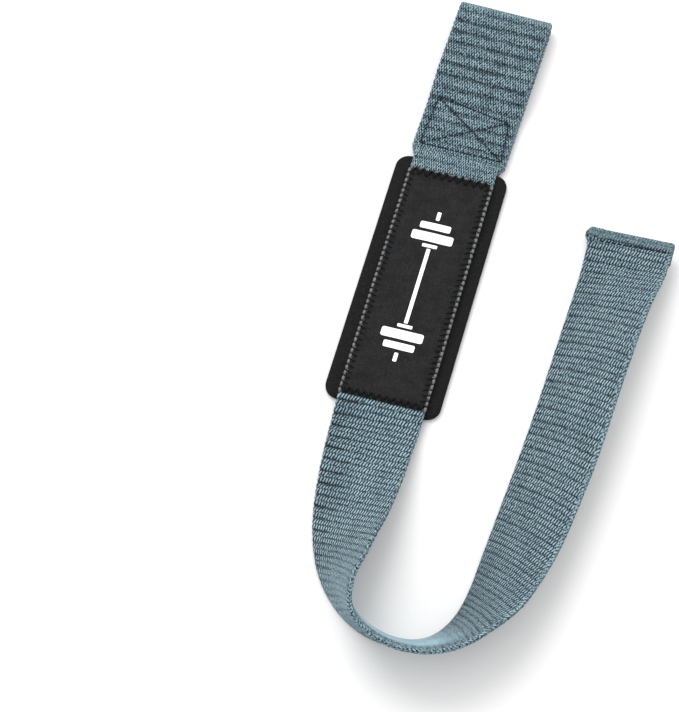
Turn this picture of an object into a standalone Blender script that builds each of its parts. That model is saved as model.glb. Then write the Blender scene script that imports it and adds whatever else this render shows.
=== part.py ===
"""A weightlifting strap, laid out on a table with its tail turned back beside it.

One long piece of cotton webbing is folded back at the upper end into a loop, which is sewn shut
in front of a wrist pad. It runs over the pad, under a sewn-on patch, and on into the tail. The
tail leaves the pad face up, rolls onto its edge, turns back and lies with its other face up, and
its end is folded under into a hem.

Metres, +Z up. The origin is in the middle of the pad's underside, on the table. The pad lies
along Y, with the loop at its +Y end.
"""

import math

import bpy
import numpy as np

# Webbing. It draws in where it is sewn down, and is sewn a little off the pad's middle.
WEBBING_WIDTH = 0.038
WEBBING_THICKNESS = 0.0022
TAIL_LENGTH = 0.355
HEM_LENGTH = 0.009
SEWN_ASIDE = 0.0006

# Loop: how far it reaches past the pad, how far open it lies, and the seam that shuts it.
LOOP_REACH = 0.085
LOOP_WIDTH = 0.043
LOOP_OPENING = 0.0055
LOOP_RISE = 0.022
SEAM_LENGTH = 0.0195
SEAM_FROM_PAD = 0.0055
LOOP_BEND = 1.7

# Pad.
PAD_LENGTH = 0.127
PAD_WIDTH = 0.0505
PAD_THICKNESS = 0.003
PAD_CORNER = 0.006
PAD_EDGE = 0.0008

# Patch.
PATCH_LENGTH = 0.118
PATCH_WIDTH = 0.0355
PATCH_THICKNESS = 0.0007
PATCH_FROM_LOWER_END = 0.001
PATCH_CORNER = 0.001

# Room between pieces that touch.
CLEARANCE = 0.0003

# How the tail lies. A row for each place along it, from the pad to the hem:
#   share    how far along the tail it is, as a share of TAIL_LENGTH
#   heading  which way the low edge runs in plan, in degrees from +X
#   bearing  which way the width points in plan from the low edge, in degrees from +X
#   lean     how steeply the width climbs from the low edge, in degrees
#   bow      how far the middle bulges into the turn, as a share of WEBBING_WIDTH
TAIL_COLUMNS = ("share", "heading", "bearing", "lean", "bow")
TAIL = (
    (0.00, -90, 0, 0, 0.00),
    (0.05, -87, 0, 9, 0.00),
    (0.10, -84, -1, 18, 0.01),
    (0.15, -79, -4, 30, 0.02),
    (0.20, -69, -11, 46, 0.03),
    (0.25, -53, -35, 61, 0.05),
    (0.30, -33, -63, 66, 0.07),
    (0.35, -5, -65, 63, 0.07),
    (0.40, 35, -54, 58, 0.06),
    (0.45, 71, -43, 52, 0.05),
    (0.50, 86, -32, 41, 0.04),
    (0.55, 86, -24, 34, 0.03),
    (0.65, 86, -14, 30, 0.02),
    (0.80, 88, -5, 30, 0.01),
    (0.90, 88, -1, 25, 0.00),
    (0.97, 91, -4, 14, 0.00),
    (1.00, 91, -6, 12, 0.00),
)

# How finely the webbing is cut into facets.
ACROSS_STEPS = 6
TAIL_STEPS = 96
RISE_STEPS = 10
FOLD_STEPS = 12
CORNER_STEPS = 6

WEBBING_COLOUR = (0.16, 0.28, 0.33, 1.0)
PAD_COLOUR = (0.012, 0.012, 0.013, 1.0)
PATCH_COLOUR = (0.018, 0.018, 0.019, 1.0)

PAD_END = PAD_LENGTH / 2
LAYER_STEP = WEBBING_THICKNESS + CLEARANCE
ON_TABLE = WEBBING_THICKNESS / 2
ON_LAYER = ON_TABLE + LAYER_STEP
ON_PAD = PAD_THICKNESS + CLEARANCE + WEBBING_THICKNESS / 2
FOLD_RADIUS = (LOOP_OPENING + WEBBING_THICKNESS) / 2
LOOP_TOP = ON_TABLE + 2 * FOLD_RADIUS
HEM_RADIUS = LAYER_STEP / 2


def ease(value):
    """Goes smoothly from 0 to 1 as the value does."""
    value = np.clip(value, 0.0, 1.0)
    return value * value * (3.0 - 2.0 * value)


def between(start, end, steps, start_height, end_height):
    """Rows of (distance, height) from start to just before end, the height eased between two values."""
    shares = np.arange(steps) / steps
    heights = start_height + (end_height - start_height) * ease(shares)
    return np.stack([start + (end - start) * shares, heights], axis=1)


def loop_profile():
    """The webbing's middle line from its hidden end to the pad's lower edge, as (distance, height)."""
    hidden_end = PAD_END + 2 * CLEARANCE
    seam_near = PAD_END + SEAM_FROM_PAD
    seam_far = seam_near + SEAM_LENGTH
    fold_centre = PAD_END + LOOP_REACH - WEBBING_THICKNESS / 2 - FOLD_RADIUS
    turns = np.linspace(-math.pi / 2, math.pi / 2, FOLD_STEPS + 1)[:-1]
    fold = np.stack(
        [
            fold_centre + FOLD_RADIUS * np.cos(turns),
            ON_TABLE + FOLD_RADIUS * (1.0 + np.sin(turns)),
        ],
        axis=1,
    )
    return np.concatenate(
        [
            between(hidden_end, seam_far, 4, ON_TABLE, ON_TABLE),
            between(seam_far, fold_centre, 6, ON_TABLE, ON_TABLE),
            fold,
            between(fold_centre, seam_far + LOOP_RISE, 4, LOOP_TOP, LOOP_TOP),
            between(seam_far + LOOP_RISE, seam_far, RISE_STEPS, LOOP_TOP, ON_LAYER),
            between(seam_far, seam_near, 3, ON_LAYER, ON_LAYER),
            between(seam_near, PAD_END, 4, ON_LAYER, ON_PAD),
            between(PAD_END, -PAD_END, 8, ON_PAD, ON_PAD),
        ]
    )


def loop_sections():
    """The edges of the webbing from its hidden end to the pad's lower edge, with the loop's bend in plan."""
    distance, height = loop_profile().T
    past_pad = np.maximum(distance - PAD_END, 0.0)
    slope = math.tan(math.radians(LOOP_BEND)) * np.minimum(past_pad / SEAM_FROM_PAD, 1.0)
    aside = slope * np.where(
        past_pad < SEAM_FROM_PAD, past_pad / 2, past_pad - SEAM_FROM_PAD / 2
    )
    middle = np.stack([SEWN_ASIDE + aside, distance, height], axis=1)
    width = WEBBING_WIDTH + (LOOP_WIDTH - WEBBING_WIDTH) * ease(past_pad / SEAM_FROM_PAD)
    half = np.stack([np.ones_like(slope), -slope, np.zeros_like(slope)], axis=1)
    half *= (width / 2 / np.linalg.norm(half, axis=1))[:, None]
    across = np.linspace(-1.0, 1.0, ACROSS_STEPS + 1)
    return middle[:, None] + half[:, None] * across[None, :, None]


def tail_values(shares):
    """The table's columns at the given shares, on smooth curves through its rows."""
    rows = np.array(TAIL, dtype=float)
    known = rows[:, 0]
    index = np.clip(np.searchsorted(known, shares, side="right") - 1, 0, len(known) - 2)
    gap = known[index + 1] - known[index]
    t = (shares - known[index]) / gap
    values = {}
    for name, column in zip(TAIL_COLUMNS[1:], rows[:, 1:].T):
        slope = np.gradient(column, known)
        values[name] = (
            (2 * t**3 - 3 * t**2 + 1) * column[index]
            + (t**3 - 2 * t**2 + t) * gap * slope[index]
            + (3 * t**2 - 2 * t**3) * column[index + 1]
            + (t**3 - t**2) * gap * slope[index + 1]
        )
    return values


def tail_sections():
    """The tail's sections, from the pad's lower edge to the fold of the hem."""
    shares = np.linspace(0.0, 1.0, TAIL_STEPS + 1)
    values = tail_values(shares)
    heading, bearing, lean = (
        np.radians(values[name]) for name in ("heading", "bearing", "lean")
    )
    run = np.stack([np.cos(heading), np.sin(heading)], axis=1) * TAIL_LENGTH / TAIL_STEPS
    low = np.zeros((len(shares), 3))
    low[0, :2] = SEWN_ASIDE - WEBBING_WIDTH / 2, -PAD_END
    low[1:, :2] = low[0, :2] + np.cumsum((run[1:] + run[:-1]) / 2, axis=0)
    width = np.stack(
        [np.cos(bearing) * np.cos(lean), np.sin(bearing) * np.cos(lean), np.sin(lean)], axis=1
    )
    inward = np.cross(width, np.gradient(low, axis=0))
    inward /= np.linalg.norm(inward, axis=1)[:, None]
    bow = values["bow"]
    chord = WEBBING_WIDTH * (1.0 - 8.0 / 3.0 * bow**2)
    across = np.linspace(0.0, 1.0, ACROSS_STEPS + 1)
    bulge = 4.0 * across * (1.0 - across)
    sections = (
        low[:, None]
        + (width * chord[:, None])[:, None] * across[None, :, None]
        + (inward * (bow * WEBBING_WIDTH)[:, None])[:, None] * bulge[None, :, None]
    )

    # The low edge lies on the table, but steps down from the pad and up onto the hem.
    level = np.abs(face_normals(sections)[:, 0, 2])
    off_pad = 1.0 - ease(shares * TAIL_LENGTH / (4 * PAD_THICKNESS))
    onto_hem = ease(2.0 - (1.0 - shares) * TAIL_LENGTH / HEM_LENGTH)
    lift = (ON_TABLE + LAYER_STEP * onto_hem) * level + (ON_PAD - ON_TABLE) * off_pad
    sections[:, :, 2] += lift[:, None]
    return sections


def hem_sections(tail):
    """The sections of the hem, folded under the last section of the tail."""
    last = tail[-1]
    width = last[-1] - last[0]
    width /= np.linalg.norm(width)
    ahead = last.mean(axis=0) - tail[-2].mean(axis=0)
    ahead -= width * ahead.dot(width)
    ahead /= np.linalg.norm(ahead)
    down = np.cross(ahead, width)
    down *= -np.sign(down[2])
    sections = []
    for turn in np.linspace(0.0, math.pi, FOLD_STEPS + 1)[1:]:
        step = ahead * HEM_RADIUS * math.sin(turn) + down * HEM_RADIUS * (1.0 - math.cos(turn))
        sections.append(last + step)
    back = tail[-3] - last
    back *= HEM_LENGTH / np.linalg.norm(back.mean(axis=0))
    sections.append(sections[-1] + back)
    return np.array(sections)


def face_normals(middle):
    """Unit normals of a grid of points on the webbing's middle surface."""
    normals = np.cross(np.gradient(middle, axis=0), np.gradient(middle, axis=1))
    return normals / np.linalg.norm(normals, axis=2)[..., None]


def solid_strip(middle):
    """Vertices and faces of a closed band of the webbing's thickness, around its middle surface."""
    offset = face_normals(middle) * WEBBING_THICKNESS / 2
    rows, columns = middle.shape[:2]
    count = rows * columns
    vertices = np.concatenate(
        [(middle + offset).reshape(-1, 3), (middle - offset).reshape(-1, 3)]
    )
    index = np.arange(count).reshape(rows, columns)
    faces = []
    for i in range(rows - 1):
        for j in range(columns - 1):
            corners = (index[i, j], index[i + 1, j], index[i + 1, j + 1], index[i, j + 1])
            faces.append(corners)
            faces.append(tuple(corner + count for corner in reversed(corners)))
    rim = [
        *index[:, 0],
        *index[-1, 1:],
        *index[-2::-1, -1],
        *index[0, -2:0:-1],
    ]
    for here, there in zip(rim, rim[1:] + rim[:1]):
        faces.append((there, here, here + count, there + count))
    return vertices.tolist(), [[int(corner) for corner in face] for face in faces]


def plate(length, width, thickness, corner, middle):
    """A flat plate with rounded corners, the middle of its underside at that place."""
    middle_x, middle_y, base = middle
    outline = []
    for quarter, (side_x, side_y) in enumerate(((1, 1), (-1, 1), (-1, -1), (1, -1))):
        for step in range(CORNER_STEPS + 1):
            turn = math.pi / 2 * (quarter + step / CORNER_STEPS)
            outline.append(
                (
                    middle_x + side_x * (width / 2 - corner) + corner * math.cos(turn),
                    middle_y + side_y * (length / 2 - corner) + corner * math.sin(turn),
                )
            )
    count = len(outline)
    vertices = [(x, y, base) for x, y in outline]
    vertices += [(x, y, base + thickness) for x, y in outline]
    faces = [list(range(count))[::-1], list(range(count, 2 * count))]
    for here in range(count):
        there = (here + 1) % count
        faces.append([here, there, there + count, here + count])
    return vertices, faces


def material(name, colour, roughness):
    made = bpy.data.materials.new(name)
    made.use_nodes = True
    shader = made.node_tree.nodes["Principled BSDF"]
    shader.inputs["Base Color"].default_value = colour
    shader.inputs["Roughness"].default_value = roughness
    shader.inputs["Metallic"].default_value = 0.0
    return made


def add_object(name, vertices, faces, finish):
    mesh = bpy.data.meshes.new(name)
    mesh.from_pydata(vertices, [], faces)
    mesh.materials.append(finish)
    obj = bpy.data.objects.new(name, mesh)
    bpy.context.scene.collection.objects.link(obj)
    return obj


def make_webbing():
    tail = tail_sections()
    middle = np.concatenate([loop_sections(), tail, hem_sections(tail)])
    vertices, faces = solid_strip(middle)
    obj = add_object("webbing", vertices, faces, material("cotton_webbing", WEBBING_COLOUR, 0.9))
    obj.data.shade_smooth()
    obj.data.set_sharp_from_angle(angle=math.radians(50))


def make_pad():
    vertices, faces = plate(
        PAD_LENGTH, PAD_WIDTH, PAD_THICKNESS, PAD_CORNER, (0.0, 0.0, 0.0)
    )
    obj = add_object("pad", vertices, faces, material("neoprene", PAD_COLOUR, 0.85))
    rounding = obj.modifiers.new("edge", "BEVEL")
    rounding.width = PAD_EDGE
    rounding.segments = 2
    rounding.limit_method = "ANGLE"
    rounding.angle_limit = math.radians(60)


def make_patch():
    base = ON_PAD + WEBBING_THICKNESS / 2 + CLEARANCE
    middle = SEWN_ASIDE, PATCH_FROM_LOWER_END + PATCH_LENGTH / 2 - PAD_END, base
    vertices, faces = plate(PATCH_LENGTH, PATCH_WIDTH, PATCH_THICKNESS, PATCH_CORNER, middle)
    add_object("patch", vertices, faces, material("patch_cloth", PATCH_COLOUR, 0.6))


def main():
    for obj in list(bpy.data.objects):
        bpy.data.objects.remove(obj)
    make_webbing()
    make_pad()
    make_patch()


main()
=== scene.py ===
"""The looks of a weightlifting strap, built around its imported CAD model.

Ribbed cotton webbing, a neoprene wrist pad and a sewn-on patch with their stitches, on a pale
table. Laid out as an add-on and run as a script. Metres, +Z up, in the CAD model's frame: the
pad's underside is centred on the origin, with the strap's end loop at its +Y end.
"""

import math

import bpy
import numpy as np
from mathutils import Matrix, Vector, noise


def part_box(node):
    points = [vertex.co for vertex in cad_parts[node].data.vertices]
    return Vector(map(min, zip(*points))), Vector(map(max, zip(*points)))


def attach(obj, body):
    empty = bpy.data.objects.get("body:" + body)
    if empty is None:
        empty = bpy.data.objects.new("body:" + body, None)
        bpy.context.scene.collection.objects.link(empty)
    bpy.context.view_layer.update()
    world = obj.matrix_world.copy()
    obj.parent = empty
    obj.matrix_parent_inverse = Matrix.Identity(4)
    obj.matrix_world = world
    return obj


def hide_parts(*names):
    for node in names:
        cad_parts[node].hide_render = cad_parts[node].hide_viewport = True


bl_info = {
    "name": "Weightlifting Strap",
    "version": (1, 0, 0),
    "blender": (4, 5, 0),
    "location": "View3D > Sidebar > Strap",
    "description": "Builds the strap's webbing, pad, patch and stitches around the CAD model",
    "category": "Object",
}

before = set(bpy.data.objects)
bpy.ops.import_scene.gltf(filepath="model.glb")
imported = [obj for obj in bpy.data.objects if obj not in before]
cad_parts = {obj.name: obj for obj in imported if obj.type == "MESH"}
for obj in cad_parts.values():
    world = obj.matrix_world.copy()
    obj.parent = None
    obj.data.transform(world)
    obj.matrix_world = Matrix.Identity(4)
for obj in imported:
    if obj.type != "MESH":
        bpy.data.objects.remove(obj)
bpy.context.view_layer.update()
PAD_LOW, PAD_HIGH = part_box("pad")
PATCH_LOW, PATCH_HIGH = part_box("patch")
BODY = "root"

# Sizes of the laid strap, as the CAD model has them.
SEWN_ASIDE = 0.0006
TAIL_LENGTH = 0.355
HEM_LENGTH = 0.009
LOOP_REACH = 0.085
LOOP_WIDTH = 0.043
LOOP_OPENING = 0.0055
LOOP_RISE = 0.022
LOOP_BEND = 1.7
SEAM_LENGTH = 0.0195
SEAM_FROM_PAD = 0.0055
CLEARANCE = 0.0003
WEBBING_WIDTH = 0.038
WEBBING_THICKNESS = 0.0022

PAD_END = PAD_HIGH.y
PAD_THICKNESS = PAD_HIGH.z
RIM = WEBBING_THICKNESS / 2
LAYER_STEP = WEBBING_THICKNESS + CLEARANCE
ON_TABLE = RIM
ON_LAYER = ON_TABLE + LAYER_STEP
ON_PAD = PAD_THICKNESS + CLEARANCE + RIM
FOLD_RADIUS = (LOOP_OPENING + WEBBING_THICKNESS) / 2
LOOP_TOP = ON_TABLE + 2 * FOLD_RADIUS
HEM_RADIUS = LAYER_STEP / 2
HALF_ROUND = WEBBING_WIDTH / 2 - RIM + RIM * math.pi / 2  # from the middle to the edge's crest

# How the tail lies. A row for each place along it, from the pad to the hem:
#   share    how far along the tail it is, as a share of TAIL_LENGTH
#   heading  which way the low edge runs in plan, in degrees from +X
#   bearing  which way the width points in plan from the low edge, in degrees from +X
#   lean     how steeply the width climbs from the low edge, in degrees
#   bow      how far the middle bulges into the turn, as a share of WEBBING_WIDTH
TAIL_COLUMNS = ("share", "heading", "bearing", "lean", "bow")
TAIL = (
    (0.00, -90, 0, 0, 0.00),
    (0.05, -87, 0, 9, 0.00),
    (0.10, -84, -1, 18, 0.01),
    (0.15, -79, -4, 30, 0.02),
    (0.20, -69, -11, 46, 0.03),
    (0.25, -53, -35, 61, 0.05),
    (0.30, -33, -63, 66, 0.07),
    (0.35, -5, -65, 63, 0.07),
    (0.40, 35, -54, 58, 0.06),
    (0.45, 71, -43, 52, 0.05),
    (0.50, 86, -32, 41, 0.04),
    (0.55, 86, -24, 34, 0.03),
    (0.65, 86, -14, 30, 0.02),
    (0.80, 88, -5, 30, 0.01),
    (0.90, 88, -1, 25, 0.00),
    (0.97, 91, -4, 14, 0.00),
    (1.00, 91, -6, 12, 0.00),
)

# The weave along the webbing. A place is measured from the pad's lower edge, as a share of
# TAIL_LENGTH, so the loop's are below zero. Pitch is one row's length in metres, skew in degrees.
WEAVE_COLUMNS = ("place", "pitch", "skew")
WEAVE = (
    (-0.90, 0.00310, 0),
    (-0.55, 0.00310, 0),
    (-0.42, 0.00275, 0),
    (0.00, 0.00300, 0),
    (0.10, 0.00310, 9),
    (0.25, 0.00300, 13),
    (0.36, 0.00275, 0),
    (0.46, 0.00275, -8),
    (0.58, 0.00280, -10),
    (0.65, 0.00320, -11),
    (0.72, 0.00350, -12),
    (0.90, 0.00350, -12),
    (0.96, 0.00285, -6),
    (1.05, 0.00280, -2),
)
ROW_WANDER = 0.00022  # how far a row strays from straight
ROW_CURL = 3 / 7  # how much a row that runs back curves, as a share of its skew

# Where the cloth changes along the webbing, in the weave's places: where it starts, and over how much.
CHANGES = {
    "seam": (-0.47, 0.02),
    "tail": (-0.05, 0.04),
    "shallow pairs": (0.08, 0.16),
    "turn": (0.16, 0.15),
    "fine rim": (0.20, 0.06),
    "past the turn": (0.385, 0.09),
}
FOLD_AT = -0.597  # the loop's fold, as a place of the weave
PAD_TOP_AT = -0.362  # the pad's upper edge

# Depths and lengths of the webbing's relief.
RIM_SCALLOP = 0.00035
RIM_SCALLOP_FADE = 0.00020
RIM_SWELL = 0.00012
STITCH_GROOVE = 0.0005
STITCH_GROOVE_WIDTH = 0.0006
HEM_STITCH = 0.0048  # from the hem's fold to its line of stitches
HEM_BAND = 0.0042  # the hem's smooth band, from its fold
HEM_BAND_FADE = 0.0012
HEM_CORNER = 0.0011  # how far the hem's bunched corner stands proud
HEM_CORNER_FROM_FOLD = 0.0022
HEM_CORNER_LENGTH = 0.0034
HEM_CORNER_SHARE = 0.28  # its width, as a share of half the webbing's

# How finely the webbing's surface is worked out.
ACROSS_STEPS = 34
RIM_STEPS = 5
SAMPLES_PER_ROW = 5
PITCH_SAMPLES = 20000
TAIL_STEPS = 700
PROFILE_FINENESS = 8
FOLD_STEPS = 24
PROBE = 0.0005  # how far ahead the surface's direction is read
PROBE_SHARE = 0.04
STITCH_PROBE = 0.0004

# Pad and patch.
PAD_CORNER = 0.006
PAD_EDGE = 0.0009
CORNER_SEGMENTS = 8
PATCH_WALL = 0.00045
PATCH_GRID = (44, 140)
TINY = 1e-6

# The barbell on the patch. A row for the collar and for each plate, from the middle outwards: its
# distance from the bar's tip, its length along the bar, and its width as a share of the widest's.
MOTIF_PLATES = ((0.0180, 0.0016, 0.36), (0.0135, 0.0046, 1.0), (0.0078, 0.0034, 0.74))
MOTIF_BAR = 0.0017
MOTIF_TIP = 0.0044
MOTIF_THICKNESS = 0.00012
MOTIF_PROUD = 0.00003

# Stitches. The seam's corners are each a distance from the pad's end and a place across.
SEAM_CORNERS = ((0.0321, -0.0150), (0.0275, 0.0149), (0.0067, 0.0168), (0.0062, -0.0162))
SEAM_STITCH = 0.0023
HEM_LINE = (-0.0165, 0.0170)
HEM_STITCH_LENGTH = 0.0026
STITCH_TAPER = 0.45
STITCH_ARCH = 0.55
STITCH_SINK = 0.30
EDGE_OFFSET = 0.0009
FRAY_COUNT = 46
UP = Vector((0.0, 0.0, 1.0))

# The camera and the picture that it frames.
VIEW_AZIMUTH = math.radians(15.5)
VIEW_ELEVATION = math.radians(60.0)
VIEW_DISTANCE = 1.3
VIEW_AIM = Vector((-0.0234, -0.0426, 0.0))
PICTURE_SIZE = (679, 712)
PIXELS_PER_METRE = 2334.0
SENSOR = 36.0

# The lamps, seen from the camera: name, metres to the right, away and up, diameter, and watts.
LAMPS = (("key", -0.34, 0.40, 1.2, 0.95, 10.5), ("fill", 0.5, -0.7, 1.4, 1.6, 3.0))
STUDIO_LIGHT = 1.38
TABLE_SIZE = 8.0
TABLE_LEVEL = -0.0002

# Second colours of the materials, which their grain brings out.
PAD_FIBRES = (0.0130, 0.0130, 0.0135, 1.0)
PAD_WORN = (0.008, 0.008, 0.0083, 1.0)
PATCH_FIBRES = (0.0240, 0.0240, 0.0245, 1.0)
PATCH_WORN = (0.006, 0.006, 0.0062, 1.0)
DULL_TINT = (0.86, 0.88, 0.90, 1.0)
BRIGHT_TINT = (1.10, 1.08, 1.06, 1.0)

LENGTH = {"unit": "LENGTH", "precision": 5}
COLOUR = {"subtype": "COLOR", "size": 4, "min": 0.0, "max": 1.0}


# Settings


class StrapSizes(bpy.types.PropertyGroup):
    """Sizes of the weave, the thread and the motif."""

    row_pitch: bpy.props.FloatProperty(
        name="Row pitch", description="One row of the weave along the webbing",
        default=0.00285, min=0.001, max=0.006, **LENGTH)
    stroke_pitch: bpy.props.FloatProperty(
        name="Yarn pitch", description="One yarn of the weave across the webbing",
        default=0.00105, min=0.0005, max=0.004, **LENGTH)
    rib_depth: bpy.props.FloatProperty(
        name="Rib depth", description="Depth of the groove between two pairs of rows",
        default=0.00055, min=0.0, max=0.001, **LENGTH)
    row_depth: bpy.props.FloatProperty(
        name="Row depth", description="Depth of the groove between two rows",
        default=0.00024, min=0.0, max=0.001, **LENGTH)
    thread: bpy.props.FloatProperty(
        name="Thread", description="Thickness of the sewing thread",
        default=0.00055, min=0.0002, max=0.002, **LENGTH)
    motif_length: bpy.props.FloatProperty(
        name="Motif length", description="Length of the barbell on the patch",
        default=0.078, min=0.02, max=0.11, **LENGTH)
    motif_width: bpy.props.FloatProperty(
        name="Motif width", description="Width of the barbell's widest plates",
        default=0.0185, min=0.005, max=0.03, **LENGTH)


class StrapColours(bpy.types.PropertyGroup):
    """Colours of the strap's materials."""

    yarn: bpy.props.FloatVectorProperty(
        name="Yarn", description="Webbing on the crowns of its yarns",
        default=(0.232, 0.352, 0.405, 1.0), **COLOUR)
    # Painted shade: the colour down in the gaps between the yarns.
    painted_gap_shade: bpy.props.FloatVectorProperty(
        name="Between yarns", description="Webbing down between its yarns",
        default=(0.006, 0.012, 0.015, 1.0), **COLOUR)
    pad: bpy.props.FloatVectorProperty(
        name="Pad", description="Neoprene pad",
        default=(0.0040, 0.0040, 0.0042, 1.0), **COLOUR)
    patch: bpy.props.FloatVectorProperty(
        name="Patch", description="Patch cloth",
        default=(0.0022, 0.0022, 0.0023, 1.0), **COLOUR)
    motif: bpy.props.FloatVectorProperty(
        name="Motif", description="Motif on the patch",
        default=(0.88, 0.88, 0.88, 1.0), **COLOUR)
    thread: bpy.props.FloatVectorProperty(
        name="Patch thread", description="Thread that sews the patch down",
        default=(0.003, 0.003, 0.0032, 1.0), **COLOUR)
    edge_thread: bpy.props.FloatVectorProperty(
        name="Edge thread", description="Pale thread along the patch's sides",
        default=(0.185, 0.192, 0.188, 1.0), **COLOUR)
    seam_thread: bpy.props.FloatVectorProperty(
        name="Seam thread", description="Thread of the loop's seam and the hem",
        default=(0.010, 0.017, 0.021, 1.0), **COLOUR)
    table: bpy.props.FloatVectorProperty(
        name="Table", description="Surface that the strap lies on",
        default=(0.650, 0.646, 0.645, 1.0), **COLOUR)


def sizes():
    return bpy.context.scene.strap_sizes


def colours():
    return bpy.context.scene.strap_colours


# Smooth steps and directions


def ease(value):
    """Goes smoothly from 0 to 1 as the value does."""
    value = np.clip(value, 0.0, 1.0)
    return value * value * (3.0 - 2.0 * value)


def ramp(value, start, length):
    """Goes smoothly from 0 at the start to 1 at the given length past it."""
    return ease((value - start) / length)


def near(value, centre, width):
    """1 at the centre, fading to almost 0 at twice the width from it."""
    return np.exp(-(((value - centre) / width) ** 2))


def unit(vectors):
    return vectors / np.linalg.norm(vectors, axis=-1)[..., None]


def row_of(table, value):
    """The row of a table that each value lies in, how far into it as a share, and the row's length."""
    index = np.clip(np.searchsorted(table, value, side="right") - 1, 0, len(table) - 2)
    gap = table[index + 1] - table[index]
    return index, (value - table[index]) / gap, gap


# The webbing's middle surface


def between(start, end, steps, start_height, end_height):
    """Rows of (distance, height) from start to just before end, the height eased between two values."""
    shares = np.arange(steps * PROFILE_FINENESS) / (steps * PROFILE_FINENESS)
    heights = start_height + (end_height - start_height) * ease(shares)
    return np.stack([start + (end - start) * shares, heights], axis=1)


def loop_profile():
    """The webbing's middle line from its hidden end to the pad's lower edge, as (distance, height)."""
    hidden_end = PAD_END + 2 * CLEARANCE
    seam_near = PAD_END + SEAM_FROM_PAD
    seam_far = seam_near + SEAM_LENGTH
    fold_centre = PAD_END + LOOP_REACH - RIM - FOLD_RADIUS
    turns = np.linspace(-math.pi / 2, math.pi / 2, FOLD_STEPS + 1)[:-1]
    distance = fold_centre + FOLD_RADIUS * np.cos(turns)
    height = ON_TABLE + FOLD_RADIUS * (1.0 + np.sin(turns))
    return np.concatenate([
        between(hidden_end, seam_far, 4, ON_TABLE, ON_TABLE),
        between(seam_far, fold_centre, 6, ON_TABLE, ON_TABLE),
        np.stack([distance, height], axis=1),
        between(fold_centre, seam_far + LOOP_RISE, 4, LOOP_TOP, LOOP_TOP),
        between(seam_far + LOOP_RISE, seam_far, 10, LOOP_TOP, ON_LAYER),
        between(seam_far, seam_near, 3, ON_LAYER, ON_LAYER),
        between(seam_near, PAD_END, 4, ON_LAYER, ON_PAD),
        between(PAD_END, -PAD_END, 8, ON_PAD, ON_PAD),
    ])


def loop_sections():
    """The webbing's sections from its hidden end to the pad's lower edge, with the loop's bend in plan."""
    distance, height = loop_profile().T
    past_pad = np.maximum(distance - PAD_END, 0.0)
    slope = math.tan(math.radians(LOOP_BEND)) * np.minimum(past_pad / SEAM_FROM_PAD, 1.0)
    bent = np.where(past_pad < SEAM_FROM_PAD, past_pad / 2, past_pad - SEAM_FROM_PAD / 2)
    middle = np.stack([SEWN_ASIDE + slope * bent, distance, height], axis=1)
    width = WEBBING_WIDTH + (LOOP_WIDTH - WEBBING_WIDTH) * ease(past_pad / SEAM_FROM_PAD)
    half = unit(np.stack([np.ones_like(slope), -slope, np.zeros_like(slope)], axis=1))
    half *= (width / 2)[:, None]
    across = np.linspace(-1.0, 1.0, ACROSS_STEPS + 1)
    return middle[:, None] + half[:, None] * across[None, :, None]


def tail_values(shares):
    """The tail table's columns at the given shares, on smooth curves through its rows."""
    rows = np.array(TAIL, dtype=float)
    index, t, gap = row_of(rows[:, 0], shares)
    values = {}
    for name, column in zip(TAIL_COLUMNS[1:], rows[:, 1:].T):
        slope = np.gradient(column, rows[:, 0])
        values[name] = (
            (2 * t**3 - 3 * t**2 + 1) * column[index]
            + (t**3 - 2 * t**2 + t) * gap * slope[index]
            + (3 * t**2 - 2 * t**3) * column[index + 1]
            + (t**3 - t**2) * gap * slope[index + 1]
        )
    return values


def tail_sections():
    """The tail's sections, from the pad's lower edge to the fold of the hem."""
    shares = np.linspace(0.0, 1.0, TAIL_STEPS + 1)
    values = tail_values(shares)
    heading, bearing, lean = (np.radians(values[name]) for name in ("heading", "bearing", "lean"))
    run = np.stack([np.cos(heading), np.sin(heading)], axis=1) * TAIL_LENGTH / TAIL_STEPS
    low = np.zeros((len(shares), 3))
    low[0, :2] = SEWN_ASIDE - WEBBING_WIDTH / 2, -PAD_END
    low[1:, :2] = low[0, :2] + np.cumsum((run[1:] + run[:-1]) / 2, axis=0)
    width = np.stack(
        [np.cos(bearing) * np.cos(lean), np.sin(bearing) * np.cos(lean), np.sin(lean)], axis=1)
    inward = unit(np.cross(width, np.gradient(low, axis=0)))
    bow = values["bow"]
    chord = WEBBING_WIDTH * (1.0 - 8.0 / 3.0 * bow**2)
    across = np.linspace(0.0, 1.0, ACROSS_STEPS + 1)
    bulge = 4.0 * across * (1.0 - across)
    sections = (
        low[:, None]
        + (width * chord[:, None])[:, None] * across[None, :, None]
        + (inward * (bow * WEBBING_WIDTH)[:, None])[:, None] * bulge[None, :, None]
    )

    # The low edge lies on the table, but steps down from the pad and up onto the hem.
    normals = unit(np.cross(np.gradient(sections, axis=0), np.gradient(sections, axis=1)))
    level = np.abs(normals[:, 0, 2])
    off_pad = 1.0 - ease(shares * TAIL_LENGTH / (4 * PAD_THICKNESS))
    onto_hem = ease(2.0 - (1.0 - shares) * TAIL_LENGTH / HEM_LENGTH)
    lift = (ON_TABLE + LAYER_STEP * onto_hem) * level + (ON_PAD - ON_TABLE) * off_pad
    sections[:, :, 2] += lift[:, None]
    return sections


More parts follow.
